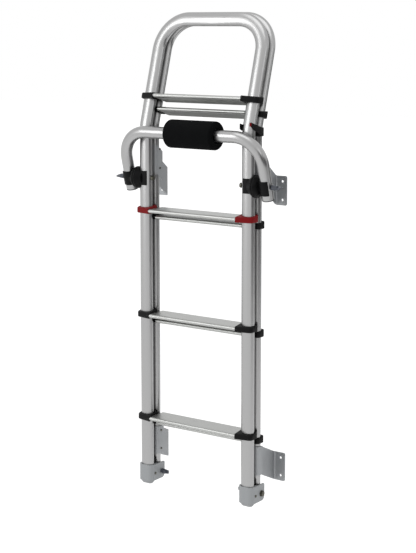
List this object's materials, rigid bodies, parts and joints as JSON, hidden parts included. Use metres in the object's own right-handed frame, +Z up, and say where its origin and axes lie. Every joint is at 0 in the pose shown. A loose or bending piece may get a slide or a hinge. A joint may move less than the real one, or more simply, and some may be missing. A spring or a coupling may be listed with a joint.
{
  "type": "folding rear ladder",
  "caption": "Folding rear ladder for a camper van: bent flat oval tube sections hinged at the foot, flat treads, wall brackets and a padded spacer bar.",
  "frame": {"origin": "on the wall face of the upper right bracket's flange, midway between its two holes", "axes": "+Z up along the stiles, +X to the ladder's right as seen from the front, +Y toward the wall"},
  "size_m": [0.517, 0.1934, 1.2632],
  "materials": {
    "tube": "satin anodised",
    "rung": "satin anodised",
    "bracket": "satin",
    "block": "satin painted casting",
    "steel": "zinc plated",
    "black_plastic": "matte",
    "red_plastic": "matte",
    "grey_plastic": "matte",
    "dark_plastic": "matte",
    "knob": "matte",
    "foam": "matte closed-cell foam"
  },
  "bodies": {
    "rear_section": {"rear_frame": "tube", "rear_stile_ends": "black_plastic", "rear_rung_1": "rung", "rear_rung_2": "rung", "rear_rung_3": "rung", "rear_rung_4": "rung", "rear_caps_1": "black_plastic", "rear_caps_2": "black_plastic", "rear_caps_3": "black_plastic", "rear_caps_4": "black_plastic", "bracket_upper_right": "bracket", "bracket_upper_left": "bracket", "bracket_lower_right": "bracket", "bracket_lower_left": "bracket", "bracket_screws": "steel", "retaining_clip": "black_plastic", "clip_tip": "red_plastic"},
    "front_section": {"front_frame": "tube", "front_rung_1": "rung", "front_rung_2": "rung", "front_rung_3": "rung", "front_rung_4": "rung", "front_caps_1": "black_plastic", "front_caps_2": "red_plastic", "front_caps_3": "black_plastic", "front_caps_4": "black_plastic", "hinge_block_right": "block", "hinge_block_left": "block", "hinge_webs": "black_plastic", "foot_plugs": "grey_plastic", "pivot_bolts": "steel", "pivot_knobs": "knob", "block_screws": "steel", "clamp_stile_saddles": "black_plastic", "clamp_bolts": "steel", "clamp_knobs": "knob"},
    "bumper_bar": {"bumper_tube": "tube", "bumper_end_plugs": "dark_plastic", "clamp_leg_saddles": "black_plastic", "foam_roller": "foam"}
  },
  "joints": [
    {"name": "section_fold", "type": "hinge", "parent": "rear_section", "child": "front_section", "pos_m": [-0.193, -0.082, -0.781], "axis": [1, 0, 0], "range_deg": [0, 180]},
    {"name": "bumper_tilt", "type": "hinge", "parent": "front_section", "child": "bumper_bar", "pos_m": [-0.193, -0.112, 0.021], "axis": [1, 0, 0], "range_deg": [0, 110]}
  ]
}
